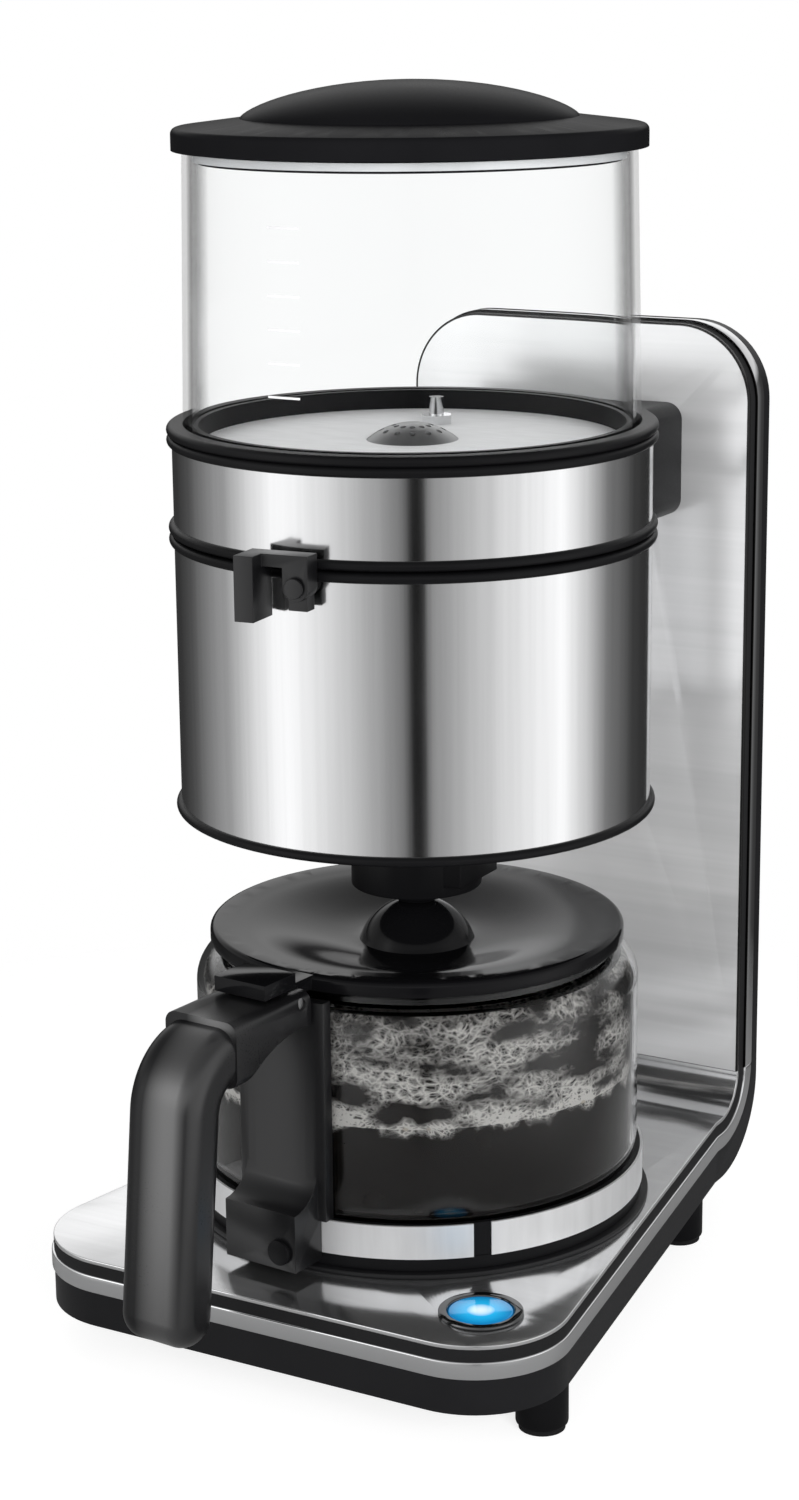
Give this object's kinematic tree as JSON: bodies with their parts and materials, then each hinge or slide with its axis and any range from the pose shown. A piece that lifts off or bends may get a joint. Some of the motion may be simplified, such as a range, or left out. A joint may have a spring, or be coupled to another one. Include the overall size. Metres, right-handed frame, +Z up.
{
  "type": "drip_coffee_maker",
  "caption": "Drip coffee maker with a glass water tank over a steel swing-out filter drum, a glass carafe on a warming plate, an L-shaped steel stand and a lit push button.",
  "frame": {"origin": "on the table, under the middle of the part's box", "axes": "+Z up, +X to the right seen from the front, -Y towards the person who uses it"},
  "size_m": [0.1892, 0.2858, 0.4149],
  "materials": {
    "steel": "polished sheet steel with a faint vertical grain",
    "chrome": "bright plated metal",
    "dull_steel": "plain turned steel",
    "brass": "plain brass",
    "satin_black": "satin black moulded plastic",
    "gloss_black": "glossy black moulded plastic",
    "coated_black": "dark non-stick coating",
    "rubber": "matt black rubber",
    "glass": "clear glass",
    "board": "green circuit board and terminal plastic",
    "blue_lens": "clear blue plastic, lit from inside"
  },
  "bodies": {
    "stand": {"base_tray": "satin_black", "base_plate": "steel", "base_gasket": "rubber", "base_band": "chrome", "column_back": "satin_black", "column_plate": "steel", "column_gasket": "rubber", "column_band": "chrome", "feet": "satin_black", "foot_pads": "rubber", "screws": "chrome", "warming_plate": "coated_black", "warming_heater": "dull_steel", "plate_thermostat": "brass", "control_board": "board", "button_bezel": "chrome", "button_spring": "chrome", "button_switch": "satin_black", "terminal_block": "board", "wire_harness": "rubber", "cord_inlet": "rubber", "bracket_block": "satin_black", "head_rim": "satin_black", "heater_shell": "steel", "top_ring": "satin_black", "tank_floor": "steel", "tank_heater": "dull_steel", "tank_thermostat": "brass", "shower_plate": "satin_black", "valve_body": "brass", "valve_spring": "chrome", "valve_strainer": "chrome", "level_probe": "chrome", "tank_seal": "rubber", "water_tank": "glass", "hinge_bracket": "satin_black", "hinge_pin": "dull_steel"},
    "tank_lid_body": {"tank_lid": "satin_black", "lid_seal": "rubber"},
    "filter": {"drum_hinge": "satin_black", "filter_drum": "steel", "filter_rim_top": "satin_black", "filter_rim_bottom": "satin_black", "filter_carrier": "satin_black", "filter_basket": "satin_black", "drip_housing": "satin_black", "drip_spring": "chrome", "latch_pin": "dull_steel"},
    "drip": {"drip_valve": "satin_black"},
    "latch": {"latch_lever": "satin_black"},
    "carafe": {"carafe_glass": "glass", "carafe_band": "chrome", "carafe_base": "satin_black", "carafe_handle": "satin_black", "handle_plate": "satin_black", "handle_screw": "chrome", "carafe_lid": "gloss_black", "carafe_lid_pin": "dull_steel"},
    "button": {"button_lens": "blue_lens"},
    "valve": {"valve_poppet": "dull_steel"}
  },
  "joints": [
    {"name": "lid_lift", "type": "slide", "parent": "stand", "child": "tank_lid_body", "axis": [0, 0, 1], "range_m": [0, 0.06]},
    {"name": "drum_swing", "type": "hinge", "parent": "stand", "child": "filter", "pos_m": [-0.085, 0.02789, 0.2714], "axis": [0, 0, -1], "range_deg": [0, 110]},
    {"name": "latch_press", "type": "hinge", "parent": "filter", "child": "latch", "pos_m": [0.00776, -0.07551, 0.26735], "axis": [0.0958, -0.9954, 0], "range_deg": [0, 14], "stiffness_Nm_per_rad": 0.05},
    {"name": "carafe_slide", "type": "slide", "parent": "stand", "child": "carafe", "axis": [0, -1, 0], "range_m": [0, 0.22]},
    {"name": "drip_slide", "type": "slide", "parent": "filter", "child": "drip", "axis": [0, 0, -1], "range_m": [0, 0.003], "deforming": ["drip_spring"]},
    {"name": "button_push", "type": "slide", "parent": "stand", "child": "button", "axis": [0, 0, -1], "range_m": [0, 0.0015], "stiffness_N_per_m": 600, "deforming": ["button_spring"]},
    {"name": "valve_rise", "type": "slide", "parent": "stand", "child": "valve", "axis": [0, 0, 1], "range_m": [0, 0.002], "stiffness_N_per_m": 200, "deforming": ["valve_spring"]}
  ],
  "couplings": [
    {"joint": "drip_slide", "follows": "carafe_slide", "ratio": 0.0136}
  ]
}
